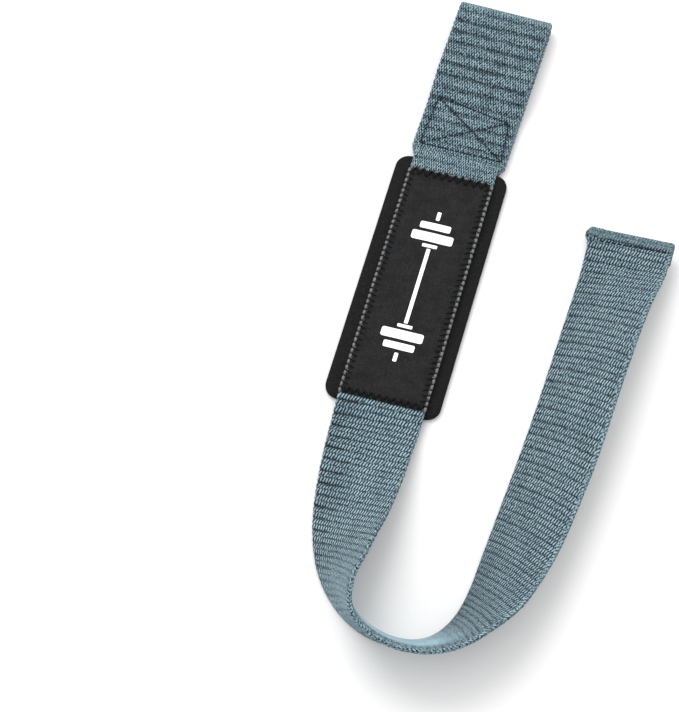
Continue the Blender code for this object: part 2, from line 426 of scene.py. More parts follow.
def hem_sections(tail):
    """The sections of the hem, folded under the last section of the tail."""
    last = tail[-1]
    width = unit(last[-1] - last[0])
    ahead = last.mean(axis=0) - tail[-PROFILE_FINENESS].mean(axis=0)
    ahead = unit(ahead - width * ahead.dot(width))
    down = np.cross(ahead, width)
    down *= -np.sign(down[2])
    sections = []
    for turn in np.linspace(0.0, math.pi, FOLD_STEPS + 1)[1:]:
        step = ahead * HEM_RADIUS * math.sin(turn) + down * HEM_RADIUS * (1.0 - math.cos(turn))
        sections.append(last + step)
    back = tail[-2 * PROFILE_FINENESS - 1] - last
    back *= HEM_LENGTH / np.linalg.norm(back.mean(axis=0))
    for share in np.linspace(0.0, 1.0, PROFILE_FINENESS + 1)[1:]:
        sections.append(sections[FOLD_STEPS - 1] + back * share)
    return np.array(sections)


class Surface:
    """The webbing's middle surface, read by the length along it and the share across it."""

    def __init__(self):
        loop, tail = loop_sections(), tail_sections()
        self.grid = np.concatenate([loop, tail, hem_sections(tail)])
        line = self.grid[:, ACROSS_STEPS // 2]
        steps = np.linalg.norm(np.diff(line, axis=0), axis=1)
        self.along = np.concatenate([[0.0], np.cumsum(steps)])
        self.length = self.along[-1]
        self.pad_end = self.along[len(loop)]
        self.hem = self.along[len(loop) + len(tail) - 1]
        upper_run = slice(int(np.argmax(loop[:, ACROSS_STEPS // 2, 1])), len(loop))
        self.run_y = line[upper_run, 1][::-1]
        self.run_along = self.along[upper_run][::-1]

    def at(self, along, across):
        """Points at lengths along it and shares from -1 to 1 across it, for arrays of one shape."""
        along = np.clip(along, 0.0, self.length)
        row = np.clip(np.searchsorted(self.along, along) - 1, 0, len(self.along) - 2)
        gap = np.maximum(self.along[row + 1] - self.along[row], TINY**2)
        t = ((along - self.along[row]) / gap)[..., None]
        column = (np.clip(across, -1.0, 1.0) + 1.0) / 2.0 * ACROSS_STEPS
        left = np.clip(column.astype(int), 0, ACROSS_STEPS - 1)
        u = (column - left)[..., None]
        lower = self.grid[row, left] * (1.0 - u) + self.grid[row, left + 1] * u
        upper = self.grid[row + 1, left] * (1.0 - u) + self.grid[row + 1, left + 1] * u
        return lower * (1.0 - t) + upper * t

    def along_at(self, y):
        """The length along the upper run, from the loop's fold to the pad's lower edge, at a place in Y."""
        return float(np.interp(y, self.run_y, self.run_along))

    def on_face(self, along, metres_across, height):
        """A point at a height over the upper face, and the normal there."""
        share = metres_across / (WEBBING_WIDTH / 2)
        lengths = np.array([along, along + STITCH_PROBE, along - STITCH_PROBE, along, along])
        point, ahead, behind, right, left = self.at(lengths, np.array([share, share, share, 1.0, -1.0]))
        normal = unit(np.cross(ahead - behind, right - left))
        if normal[2] < 0:
            normal = -normal
        return point + normal * (RIM + height), normal


def weave_at(along, column):
    """A column of the WEAVE table at lengths along the webbing, eased between its rows."""
    rows = np.array(WEAVE)
    index, t, _ = row_of(rows[:, 0], (along - SURFACE.pad_end) / TAIL_LENGTH)
    values = rows[:, WEAVE_COLUMNS.index(column)]
    return values[index] * (1.0 - ease(t)) + values[index + 1] * ease(t)


SURFACE = Surface()


# Shader helpers


class Graph:
    """Adds nodes to one tree, in rows of twelve, and links them."""

    def __init__(self, tree):
        self.tree = tree
        self.count = 0

    def node(self, kind, **settings):
        made = self.tree.nodes.new(kind)
        made.location = (180 * (self.count % 12), -260 * (self.count // 12))
        self.count += 1
        for name, value in settings.items():
            setattr(made, name, value)
        return made

    def feed(self, socket, value):
        if isinstance(value, bpy.types.NodeSocket):
            self.tree.links.new(value, socket)
        else:
            socket.default_value = value

    def feed_all(self, node, keys, values):
        for key, value in zip(keys, values):
            self.feed(node.inputs[key], value)

    def math(self, operation, *values):
        made = self.node("ShaderNodeMath", operation=operation)
        self.feed_all(made, range(3), values)
        return made.outputs[0]

    def spread(self, value, low, high, new_low=0.0, new_high=1.0):
        made = self.node("ShaderNodeMapRange", interpolation_type="SMOOTHSTEP")
        self.feed_all(made, range(5), (value, low, high, new_low, new_high))
        return made.outputs[0]

    def mix(self, factor, first, second, blend="MIX"):
        made = self.node("ShaderNodeMix", data_type="RGBA", blend_type=blend, clamp_factor=True)
        self.feed_all(made, (0, 6, 7), (factor, first, second))
        return made.outputs[2]

    def blend(self, factor, first, second):
        made = self.node("ShaderNodeMix", data_type="FLOAT")
        self.feed_all(made, (0, 2, 3), (factor, first, second))
        return made.outputs[0]

    def noise(self, vector, scale, detail=2.0, roughness=0.5):
        made = self.node("ShaderNodeTexNoise")
        self.feed_all(made, ("Vector", "Scale", "Detail", "Roughness"), (vector, scale, detail, roughness))
        return made.outputs["Fac"]

    def sway(self, value, drift, amount):
        """The value, moved by an amount times how far the drift is from one half."""
        return self.math("MULTIPLY_ADD", self.math("SUBTRACT", drift, 0.5), amount, value)

    def wave(self, value):
        return self.math("COSINE", self.math("MULTIPLY", value, 2 * math.pi))

    def crown(self, value, power):
        """1 halfway between 0 and 1, falling to 0 at both."""
        away = self.math("ABSOLUTE", self.math("MULTIPLY_ADD", value, 2.0, -1.0))
        return self.math("SUBTRACT", 1.0, self.math("POWER", away, power))

    def attribute(self, name):
        return self.node("ShaderNodeAttribute", attribute_name=name).outputs["Fac"]


def new_group(name, inputs, outputs):
    """A shader node group with number inputs of the given defaults, and the graph inside it."""
    tree = bpy.data.node_groups.new(name, "ShaderNodeTree")
    for title, default in inputs:
        kind = "NodeSocketVector" if default is None else "NodeSocketFloat"
        made = tree.interface.new_socket(title, in_out="INPUT", socket_type=kind)
        if default is not None:
            made.default_value = default
    for title in outputs:
        tree.interface.new_socket(title, in_out="OUTPUT", socket_type="NodeSocketFloat")
    graph = Graph(tree)
    entry = graph.node("NodeGroupInput")
    leave = graph.node("NodeGroupOutput")
    return tree, graph, entry.outputs, leave.inputs


def weave_group():
    """The yarns of the webbing, from its UV map in metres.

    Two staggered lines of short seeds to a row on the loop's upper face, one line of slanted strokes
    to a row underneath and on the tail, and a braid round the edges.
    """
    tree, g, given, out = new_group(
        "Ribbed Weave",
        (("UV", None), ("Row Pitch", 0.00285), ("Yarn Pitch", 0.00105), ("Wander", 0.0005),
         ("Edge", 0.02), ("Braid Width", 0.0022), ("Stroked", 0.0)),
        ("Yarn",),
    )
    parts = g.node("ShaderNodeSeparateXYZ")
    g.feed(parts.inputs[0], given["UV"])
    across, along = parts.outputs[0], parts.outputs[1]
    row = g.sway(along, g.noise(given["UV"], 520.0), given["Wander"])
    row = g.math("DIVIDE", row, given["Row Pitch"])
    column = g.sway(across, g.noise(given["UV"], 640.0), given["Wander"])
    column = g.math("DIVIDE", column, given["Yarn Pitch"])

    seeds = g.math("MULTIPLY", g.wave(g.math("MULTIPLY_ADD", row, 0.22, column)), g.wave(row))
    seeds = g.math("MULTIPLY_ADD", seeds, 0.5, 0.5)

    # Strokes lean across their row and stand half a step aside in every other one. Their ends
    # interlock, so the gap between two rows is jagged.
    odd = g.math("MULTIPLY", g.math("MODULO", g.math("FLOOR", row), 2.0), 0.5)
    twill = g.wave(g.math("MULTIPLY_ADD", column, 0.79, g.math("MULTIPLY_ADD", row, 0.8, odd)))
    strokes = g.spread(twill, -1.1, 0.75, 0.0, 0.90)
    jagged = g.math("FRACT", g.math("MULTIPLY_ADD", twill, 0.13, row))
    strokes = g.math("MULTIPLY", strokes, g.math("MULTIPLY_ADD", g.crown(jagged, 3.0), 0.60, 0.40))
    face = g.spread(g.math("ABSOLUTE", across), given["Edge"], g.math("ADD", given["Edge"], 0.0004))

    # The braid: strands that meet in a V at the crest of the edge, wide where the tail shows it.
    off_crest = g.math("ABSOLUTE", g.math("SUBTRACT", g.math("ABSOLUTE", across), given["Edge"]))
    shown = g.math("MULTIPLY", face, g.math("GREATER_THAN", across, 0.0))
    width = g.blend(shown, g.math("MULTIPLY", given["Braid Width"], 0.5), given["Braid Width"])
    strand = g.math("MULTIPLY", g.math("DIVIDE", off_crest, given["Braid Width"]), 1.5)
    strand = g.math("FRACT", g.math("MULTIPLY_ADD", row, 1.7, strand))
    braid = g.math("MULTIPLY_ADD", g.crown(strand, 2.0), 0.45, 0.25)
    braid = g.math("MULTIPLY", braid, g.spread(off_crest, 0.0, 0.0003, 0.6, 1.0))
    at_edge = g.spread(off_crest, g.math("MULTIPLY", width, 0.85), width, 1.0, 0.0)

    body = g.blend(g.math("MAXIMUM", face, given["Stroked"]), seeds, strokes)
    # The value falls to 0 in the gaps between yarns, where the webbing's material paints shade.
    g.feed(out["Yarn"], g.blend(at_edge, body, braid))
    return tree


def grain_group():
    """Fine uneven fibres: values about one half, from Object coordinates."""
    tree, g, given, out = new_group(
        "Cloth Grain", (("Vector", None), ("Fine Scale", 2600.0), ("Broad Scale", 90.0)),
        ("Fine", "Broad"))
    g.feed(out["Fine"], g.noise(given["Vector"], given["Fine Scale"], 3.0, 0.6))
    g.feed(out["Broad"], g.noise(given["Vector"], given["Broad Scale"], 3.0, 0.55))
    return tree


def place_group(graph, name, maker, values):
    """The shared group of that name, placed in a material with its own values."""
    made = graph.node("ShaderNodeGroup")
    made.node_tree = bpy.data.node_groups.get(name) or maker()
    graph.feed_all(made, values.keys(), values.values())
    return made.outputs


def new_material(name, roughness, specular, fine_scale, broad_scale):
    """A material with its graph, its Principled shader, its coordinates and its two grains."""
    made = bpy.data.materials.new(name)
    made.use_nodes = True
    graph = Graph(made.node_tree)
    shader = made.node_tree.nodes["Principled BSDF"]
    shader.location = (2400, 0)
    made.node_tree.nodes["Material Output"].location = (2700, 0)
    shader.inputs["Roughness"].default_value = roughness
    shader.inputs["Specular IOR Level"].default_value = specular
    coordinates = graph.node("ShaderNodeTexCoord").outputs
    grain = place_group(graph, "Cloth Grain", grain_group, {
        "Vector": coordinates["Object"], "Fine Scale": fine_scale, "Broad Scale": broad_scale})
    return made, graph, shader, coordinates, grain["Fine"], grain["Broad"]


def add_bump(graph, shader, height, strength, distance):
    made = graph.node("ShaderNodeBump")
    graph.feed_all(made, ("Strength", "Distance", "Height"), (strength, distance, height))
    graph.feed(shader.inputs["Normal"], made.outputs["Normal"])


# Materials


def webbing_material():
    made, g, shader, coordinates, fine, broad = new_material("cotton_webbing", 0.92, 0.15, 3200.0, 110.0)
    s, c = sizes(), colours()
    woven = place_group(g, "Ribbed Weave", weave_group, {
        "UV": coordinates["UV"], "Row Pitch": s.row_pitch, "Yarn Pitch": s.stroke_pitch,
        "Edge": HALF_ROUND, "Stroked": g.attribute("stroked")})["Yarn"]
    single = g.noise(coordinates["UV"], 1100.0, 1.0)
    pressed, groove = g.attribute("pressed"), g.attribute("groove")

    # Yarns differ one from the next and blur where the cloth is pressed. Shade is painted into the grooves,
    # darker where they are deeper, and the hem's band gets a darker tone the same way.
    yarn = g.sway(g.sway(woven, fine, 1.0), single, 1.7)
    flat = g.math("MULTIPLY_ADD", pressed, 0.75, g.sway(0.30, single, 0.9))
    yarn = g.blend(pressed, g.spread(yarn, 0.16, 1.0), flat)
    yarn = g.math("MAXIMUM", g.math("MULTIPLY_ADD", groove, -0.62, yarn), 0.0)
    tint = g.mix(g.spread(broad, 0.3, 0.7), DULL_TINT, BRIGHT_TINT)
    # Painted shade: from the yarn colour on the crowns down to a painted shade in the gaps.
    g.feed(shader.inputs["Base Color"], g.mix(1.0, g.mix(yarn, c.painted_gap_shade, c.yarn), tint, "MULTIPLY"))
    height = g.math("MULTIPLY", woven, g.math("SUBTRACT", 1.0, pressed))
    add_bump(g, shader, g.math("ADD", height, g.math("MULTIPLY", fine, 0.25)), 1.0, 0.0004)
    shader.inputs["Sheen Weight"].default_value = 0.08
    shader.inputs["Sheen Roughness"].default_value = 0.5
    return made


def pad_material():
    made, g, shader, _, fine, broad = new_material("neoprene", 0.85, 0.08, 1900.0, 60.0)
    colour = g.mix(g.spread(fine, 0.38, 0.68), colours().pad, PAD_FIBRES)
    colour = g.mix(g.spread(broad, 0.35, 0.7, 0.0, 0.4), colour, PAD_WORN)
    g.feed(shader.inputs["Base Color"], colour)
    add_bump(g, shader, fine, 0.5, 0.0002)
    return made


def patch_material():
    made, g, shader, coordinates, fine, broad = new_material("patch_cloth", 0.6, 0.12, 1500.0, 160.0)
    weft = g.node("ShaderNodeTexWave", wave_type="BANDS", bands_direction="Y")
    g.feed_all(weft, ("Vector", "Scale", "Distortion", "Detail Scale"),
               (coordinates["Object"], 620.0, 1.2, 2.0))
    height = g.math("ADD", g.math("MULTIPLY", weft.outputs["Fac"], 0.5), fine)
    colour = g.mix(g.spread(height, 0.60, 1.05), colours().patch, PATCH_FIBRES)
    colour = g.mix(g.spread(broad, 0.4, 0.75, 0.0, 0.5), colour, PATCH_WORN)
    g.feed(shader.inputs["Base Color"], colour)
    g.feed(shader.inputs["Roughness"], g.spread(broad, 0.3, 0.7, 0.62, 0.8))
    add_bump(g, shader, height, 0.9, 0.0003)
    return made


def plain_cloth(name, colour, darker, roughness, shine=0.35):
    """Thread or print: one of the set colours, with fine uneven fibres down to a darker share of it."""
    made, g, shader, _, fine, broad = new_material(name, roughness, shine, 5200.0, 300.0)
    bright = tuple(getattr(colours(), colour))
    dark = tuple(channel * darker for channel in bright[:3]) + (1.0,)
    mixed = g.mix(g.spread(fine, 0.3, 0.7), dark, bright)
    g.feed(shader.inputs["Base Color"], g.mix(g.spread(broad, 0.4, 0.8, 0.0, 0.5), mixed, dark))
    add_bump(g, shader, fine, 0.4, 0.0001)
    return made


# Modelling helpers


def deselect():
    if bpy.context.mode != "OBJECT":
        bpy.ops.object.mode_set(mode="OBJECT")
    bpy.ops.object.select_all(action="DESELECT")


def make_active(obj):
    deselect()
    obj.select_set(True)
    bpy.context.view_layer.objects.active = obj


def place_in_mesh(obj):
    """Moves the object's place, turn and size into its mesh."""
    make_active(obj)
    bpy.ops.object.transform_apply(location=True, rotation=True, scale=True)


def take_new(name):
    """The object that an operator has just made, named."""
    obj = bpy.context.object
    obj.name = obj.data.name = name
    return obj


def join_as(name, pieces):
    make_active(pieces[0])
    for piece in pieces:
        piece.select_set(True)
    bpy.ops.object.join()
    return take_new(name)


def edit_edges(obj, wanted):
    """Enters edit mode with just the edges selected whose two points are wanted."""
    make_active(obj)
    bpy.ops.object.mode_set(mode="EDIT")
    bpy.ops.mesh.select_mode(type="EDGE")
    bpy.ops.mesh.select_all(action="DESELECT")
    bpy.ops.object.mode_set(mode="OBJECT")
    for edge in obj.data.edges:
        edge.select = wanted(*(obj.data.vertices[index].co for index in edge.vertices))
    bpy.ops.object.mode_set(mode="EDIT")


def bevel_edges(obj, wanted, offset, segments):
    edit_edges(obj, wanted)
    bpy.ops.mesh.bevel(offset=offset, segments=segments, affect="EDGES", offset_type="OFFSET")
    bpy.ops.object.mode_set(mode="OBJECT")


def rounded_slab(name, low, high, corner, edge, edge_steps):
    """A slab between two corners of a box, its upright corners and its rims rounded."""
    deselect()
    bpy.ops.mesh.primitive_cube_add(size=1.0, location=(low + high) / 2)
    obj = take_new(name)
    obj.scale = high - low
    place_in_mesh(obj)

    def on_rim(start, end):
        return any(max(abs(start.z - z), abs(end.z - z)) < TINY for z in (low.z, high.z))

    bevel_edges(obj, lambda start, end: abs(start.z - end.z) > TINY, corner, CORNER_SEGMENTS)
    bevel_edges(obj, on_rim, edge, edge_steps)
    return obj


def dress(obj, material):
    obj.data.materials.clear()
    obj.data.materials.append(material)
    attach(obj, BODY)
    return obj


def points_of(obj):
    points = np.empty(len(obj.data.vertices) * 3)
    obj.data.vertices.foreach_get("co", points)
    return points.reshape(-1, 3)


def set_points(obj, points):
    obj.data.vertices.foreach_set("co", np.ascontiguousarray(points, dtype=np.float32).ravel())
    obj.data.update()


# The webbing


def seam_lines():
    """The lines of the loop's seam, each as two places of (length along, metres across)."""
    corners = [(SURFACE.along_at(PAD_END + off_pad), across) for off_pad, across in SEAM_CORNERS]
    return [(corners[a], corners[b]) for a, b in ((0, 1), (1, 2), (2, 3), (3, 0), (0, 2), (1, 3))]


def off_line(along, across, line):
    """Distance of each place from a line between two places."""
    (along_a, across_a), (along_b, across_b) = line
    run = np.array([along_b - along_a, across_b - across_a])
    share = ((along - along_a) * run[0] + (across - across_a) * run[1]) / run.dot(run)
    share = np.clip(share, 0.0, 1.0)
    return np.hypot(along - along_a - share * run[0], across - across_a - share * run[1])


def ring_round():
    """One ring round the webbing: share across, lift from level, side, and place round it in metres."""
    inset = 1.0 - 2 * RIM / WEBBING_WIDTH
    top = np.linspace(-inset, inset, ACROSS_STEPS + 1)
    turns = np.radians(np.linspace(60, -60, RIM_STEPS))
    level, upright, edge = np.zeros(len(top)), np.full(len(top), math.pi / 2), np.ones(RIM_STEPS)
    share = np.concatenate([top, inset * edge, top[::-1], -inset * edge])
    lift = np.concatenate([upright, turns, -upright, turns[::-1]])
    side = np.concatenate([level, edge, level, -edge])
    flat = top * WEBBING_WIDTH / 2
    rim = WEBBING_WIDTH / 2 - RIM + RIM * (math.pi / 2 - turns)
    under = np.where(flat[::-1] >= 0, 1.0, -1.0) * (2 * HALF_ROUND - np.abs(flat[::-1]))
    return share, lift, side, np.concatenate([flat, rim, under, -rim[::-1]])


def cloth_noise(share, along, across_scale, along_scale, layer):
    """Smooth noise from -1 to 1 over the webbing, a row for each place along it."""
    return np.array([
        [noise.noise(Vector((a * across_scale, b * along_scale, layer))) for a in share] for b in along])


def change(reach, name):
    """How far one of the cloth's changes has gone, from 0 to 1."""
    return ramp(reach, *CHANGES[name])


def webbing_relief(rows, place, across, upper, rim, uneven):
    """For each vertex its depth, how flat it is pressed, how dark a shade is painted into its groove (with
    the hem band's darker tone added), and if it is the tail's.
    """
    s = sizes()
    reach = (place - SURFACE.pad_end) / TAIL_LENGTH
    tail = change(reach, "tail")

    # Ribs: a groove between rows and a deeper one between pairs, fading down the tail and
    # stronger at its left edge.
    row_groove = 1.0 - np.abs(np.sin(math.pi * rows)) ** 0.8
    pair_groove = 1.0 - np.abs(np.sin(math.pi * rows / 2))
    pairs = 1.15 * (1.0 - tail * (1.0 - ramp(-across, 0.0, 0.9)))
    pairs = pairs * (1.0 - 0.5 * change(reach, "shallow pairs"))
    pairs = pairs * (1.0 - 0.6 * near(reach, PAD_TOP_AT, 0.015))
    pairs = pairs * (1.0 - 0.7 * near(reach, FOLD_AT, 0.016))
    pairs_below = 0.24 + 0.40 * ramp(-across, -0.2, 1.1)
    depth = s.row_depth * np.where(upper, 0.5 - 0.2 * tail, 0.25) * row_groove
    depth = depth + s.rib_depth * np.where(upper, pairs, pairs_below) * pair_groove
    depth = depth * (1.0 + 0.8 * uneven)
    scallop = RIM_SCALLOP - RIM_SCALLOP_FADE * change(reach, "fine rim")
    depth = np.where(rim, scallop * row_groove - RIM_SWELL, depth)

    # Pressed flat: the hem, the turn, most of all on its inside, and the loop's fold.
    hem_band = ramp(place, SURFACE.hem - HEM_BAND, HEM_BAND_FADE)
    turn = change(reach, "turn") * (1.0 - change(reach, "past the turn"))
    turn = turn * np.where(upper, 0.60, 0.95) * np.where(rim, 0.0, 1.0)
    pressed = np.maximum(0.70 * hem_band, turn * ramp(-across, -0.98, 0.4))
    pressed = np.maximum(pressed, 0.4 * upper * near(reach, FOLD_AT, 0.020))
    depth = depth * (1.0 - 0.85 * pressed)

    # The loop's seam draws the cloth down along its lines, and so does the hem's.
    stitched = 0.8 * near(place, SURFACE.hem - HEM_STITCH, STITCH_GROOVE_WIDTH)
    for line in seam_lines():
        gap = off_line(place, across * WEBBING_WIDTH / 2, line)
        stitched = np.maximum(stitched, upper * near(gap, 0.0, STITCH_GROOVE_WIDTH))
    depth = depth + STITCH_GROOVE * stitched
    # Painted shade: the deeper the groove, the darker its colour is painted, less so in the seam's zone.
    # The hem's band adds a darker tone of its own.
    sewn = change(reach, "seam") * (1.0 - tail)
    groove = np.clip(depth / (s.row_depth + s.rib_depth), 0.0, 1.0) * (1.0 - 0.35 * sewn)
    return depth, pressed, groove + 0.60 * hem_band, tail


def make_webbing():
    """The webbing as one closed strip, its rows of vertices in step with the weave."""
    fine = np.linspace(0.0, SURFACE.length, PITCH_SAMPLES)
    rows = np.cumsum(np.diff(fine) / weave_at((fine[1:] + fine[:-1]) / 2, "pitch"))
    counted = np.concatenate([[0.0], rows])
    phase = np.arange(int(counted[-1] * SAMPLES_PER_ROW) + 1) / SAMPLES_PER_ROW
    along = np.interp(phase, counted, fine)
    share, lift, side, ring = ring_round()

    # The rows wander a little and run askew, so their places along differ from vertex to vertex.
    across = np.broadcast_to(share, (len(along), len(share)))
    skew = np.tan(np.radians(weave_at(along, "skew")))[:, None]
    curl = ROW_CURL * np.minimum(skew, 0.0)
    place = along[:, None] + cloth_noise(share, along, 1.6, 55.0, 0.0) * ROW_WANDER
    place = place + (skew * across + curl * across**2 / 2) * WEBBING_WIDTH / 2
    place = np.clip(place, 0.0, SURFACE.length)
    place[0], place[-1] = 0.0, SURFACE.length

    points = SURFACE.at(place, across)
    ahead = SURFACE.at(place + PROBE, across) - SURFACE.at(place - PROBE, across)
    right = SURFACE.at(place, np.minimum(across + PROBE_SHARE, 1.0))
    left = SURFACE.at(place, np.maximum(across - PROBE_SHARE, -1.0))
    sideways = unit(right - left)
    normal = unit(np.cross(ahead, sideways))
    if normal[int(np.searchsorted(along, SURFACE.pad_end)), 0, 2] < 0:
        normal = -normal
    outward = normal * np.sin(lift)[:, None] + sideways * (side * np.cos(lift))[:, None]

    uneven = cloth_noise(share, along, 3.0, 140.0, 7.0)
    upper, rim = lift > 0.6, side != 0
    depth, pressed, groove, tail = webbing_relief(phase[:, None], place, across, upper, rim, uneven)

    # The bulky corner where the hem's layers bunch up.
    off_corner = np.hypot((place - SURFACE.hem + HEM_CORNER_FROM_FOLD) / HEM_CORNER_LENGTH,
                          (across + 1.0) / HEM_CORNER_SHARE)
    bunch = HEM_CORNER * near(off_corner, 0.0, 1.0)
    depth = depth - bunch * (0.8 + 0.5 * uneven)
    points = points - sideways * (bunch * (share < 0))[..., None]
    points = points + outward * (RIM - np.minimum(depth, RIM * 0.85))[..., None]

    obj = strip_mesh("webbing_strip", points)
    write_uv(obj, np.tile(ring, len(along)), np.repeat(phase * sizes().row_pitch, len(ring)))
    # The groove attribute carries the painted groove shade and the hem band's darker tone.
    for name, values in (("pressed", pressed), ("groove", groove), ("stroked", tail)):
        layer = obj.data.attributes.new(name, "FLOAT", "POINT")
        layer.data.foreach_set("value", values.astype(np.float32).ravel())
    obj.data.shade_smooth()
    return obj


def strip_mesh(name, points):
    """A closed tube of quads round rings of points, capped across at both ends."""
    rows, count = points.shape[:2]
    index = np.arange(rows * count).reshape(rows, count)
    after = np.roll(index, -1, axis=1)
    quads = np.stack([index[:-1], index[1:], after[1:], after[:-1]], axis=-1).reshape(-1, 4)
    faces = quads.tolist()
    crest = RIM_STEPS // 2 + 1
    below = count - RIM_STEPS - 1
    for row, turned in ((index[0].tolist(), False), (index[-1].tolist(), True)):
        for j in range(-crest, count // 2 - crest):
            cap = list(dict.fromkeys((row[j], row[j + 1], row[below - j - 1], row[below - j])))
            faces.append(cap[::-1] if turned else cap)
    mesh = bpy.data.meshes.new(name)
    mesh.from_pydata(points.reshape(-1, 3).tolist(), [], faces)
    obj = bpy.data.objects.new(name, mesh)
    bpy.context.scene.collection.objects.link(obj)
    return obj


def read_whole(items, name):
    """A whole number of each item of a mesh."""
    values = np.empty(len(items), dtype=np.int32)
    items.foreach_get(name, values)
    return values


def write_uv(obj, across, along):
    """A UV map in metres: across the strip, and along it."""
    mesh = obj.data
    corner = read_whole(mesh.loops, "vertex_index")
    values = np.stack([across[corner], along[corner]], axis=1)
    quads = read_whole(mesh.polygons, "loop_start")[read_whole(mesh.polygons, "loop_total") == 4]
    four = quads[:, None] + np.arange(4)

    # A quad that closes the ring counts on past its last place, not back to the first.
    u = values[four, 0]
    wraps = (u.max(axis=1) - u.min(axis=1)) > HALF_ROUND
    u[wraps] = np.where(u[wraps] < 0, u[wraps] + 4 * HALF_ROUND, u[wraps])
    values[four, 0] = u
    mesh.uv_layers.new(name="Weave").uv.foreach_set("vector", values.astype(np.float32).ravel())


# Stitches


def make_stitch(name, thickness):
    """A six-sided thread one metre long, cut in four along its length."""
    deselect()
    bpy.ops.mesh.primitive_cylinder_add(
        vertices=6, radius=thickness / 2, depth=1.0, rotation=(0.0, math.pi / 2, 0.0),
        end_fill_type="TRIFAN")
    obj = take_new(name)
    place_in_mesh(obj)
    edit_edges(obj, lambda start, end: abs(start.x - end.x) > 0.9)
    bpy.ops.mesh.subdivide(number_cuts=3)
    bpy.ops.object.mode_set(mode="OBJECT")
    return obj


def bend_stitch(obj, length, thickness):
    """The stitch at its length, arched up in the middle and thinner at its ends."""
    points = points_of(obj)
    share = points[:, 0] * 2
    points[:, 1:] *= (1.0 - STITCH_TAPER * share**4)[:, None]
    points[:, 0] *= length
    points[:, 2] += thickness * STITCH_ARCH * (1.0 - share**2) - thickness * STITCH_SINK
    set_points(obj, points)


def sew(name, spans, thickness, material):
    """Copies of one stitch between pairs of points, each with its normal, joined into one piece."""
    pattern = make_stitch(name, thickness)
    copies = []
    for start, end, up in spans:
        start, end, up = Vector(start), Vector(end), Vector(up)
        copy = pattern.copy()
        copy.data = pattern.data.copy()
        bpy.context.scene.collection.objects.link(copy)
        bend_stitch(copy, (end - start).length, thickness)
        ahead = (end - start).normalized()
        side = up.cross(ahead).normalized()
        turn = Matrix((ahead, side, ahead.cross(side))).transposed().to_4x4()
        copy.data.transform(Matrix.Translation((start + end) / 2) @ turn)
        copies.append(copy)
    bpy.data.objects.remove(pattern)
    joined = join_as(name, copies)
    joined.data.shade_smooth()
    return dress(joined, material)


def line_spans(start, end, stitch, gap, height):
    """Stitches along a line between two places of (length along, metres across)."""
    run = (end[0] - start[0], end[1] - start[1])
    count = max(1, round(math.hypot(*run) / stitch))
    spans = []
    for k in range(count):
        (first, normal), (last, _) = (
            SURFACE.on_face(start[0] + run[0] * share, start[1] + run[1] * share, height)
            for share in ((k + gap) / count, (k + 1 - gap) / count))
        spans.append((first, last, normal))
    return spans


def zigzag_spans(start, end, inward, pitch, inside, outside, back=True):
    """Slanted stitches over the patch's edge, one to a tooth, or two where they come back."""
    run = end - start
    teeth = round(run.length / pitch)
    spans = []
    for k in range(teeth):
        slip = 0.16 * noise.noise(Vector((k * 2.3, start.x * 700.0, start.y * 70.0)))
        inner = [start + run * ((k + slip + share) / teeth) + inward * inside for share in (0, 1)]
        outer = start + run * ((k + 0.5) / teeth) - inward * outside
        for point in inner:
            point.z = PATCH_HIGH.z
        outer.z = ON_PAD + RIM + 0.0007
        spans.append((inner[0], outer, UP))
        if back:
            spans.append((outer, inner[1], UP))
    return spans


def bead_spans(start, end, pitch, filled):
    """Beads of thread in a row, each of a slightly different length."""
    count = round((end - start).length / pitch)
    spans = []
    for k in range(count):
        uneven = 0.40 * noise.noise(Vector((k * 3.7, start.x * 900.0, start.y * 90.0)))
        reach = (filled + uneven) / 2
        ends = [start + (end - start) * ((k + 0.5 + side * reach) / count) for side in (-1, 1)]
        spans.append((ends[0], ends[1], UP))
    return spans


# Operators


class STRAP_OT_webbing(bpy.types.Operator):
    """The ribbed webbing, from its folded-back end to its hem"""

    bl_idname = "strap.webbing"
    bl_label = "Webbing"

    def execute(self, context):
        obj = dress(make_webbing(), webbing_material())
        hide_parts("webbing")
        return {"FINISHED"}


class STRAP_OT_pad(bpy.types.Operator):
    """The wrist pad"""

    bl_idname = "strap.pad"
    bl_label = "Wrist pad"

    def execute(self, context):
        obj = rounded_slab("wrist_pad", PAD_LOW, PAD_HIGH, PAD_CORNER, PAD_EDGE, 4)
        obj.data.shade_smooth()
        make_active(obj)
        bpy.ops.object.shade_smooth_by_angle(angle=math.radians(40))
        dress(obj, pad_material())
        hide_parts("pad")
        return {"FINISHED"}


def patch_level(x, y):
    """The level of the patch's face, which is pressed down along its stitches and waves a little."""
    low, high = PATCH_LOW, PATCH_HIGH
    off_edge = np.minimum(np.minimum(x - low.x, high.x - x), np.minimum(y - low.y, high.y - y))
    sunk = 0.00013 + 0.00030 * near(off_edge, 0.0, 0.0016)
    waves = 0.00007 * np.sin(y / 0.0051 * 2 * math.pi + 1.3 * np.sin(x * 260.0))
    broad = 0.00006 * np.sin(x * 410.0 + 2.0 * np.sin(y * 90.0)) * np.sin(y * 150.0 + 1.0)
    return high.z - (sunk + waves + broad)


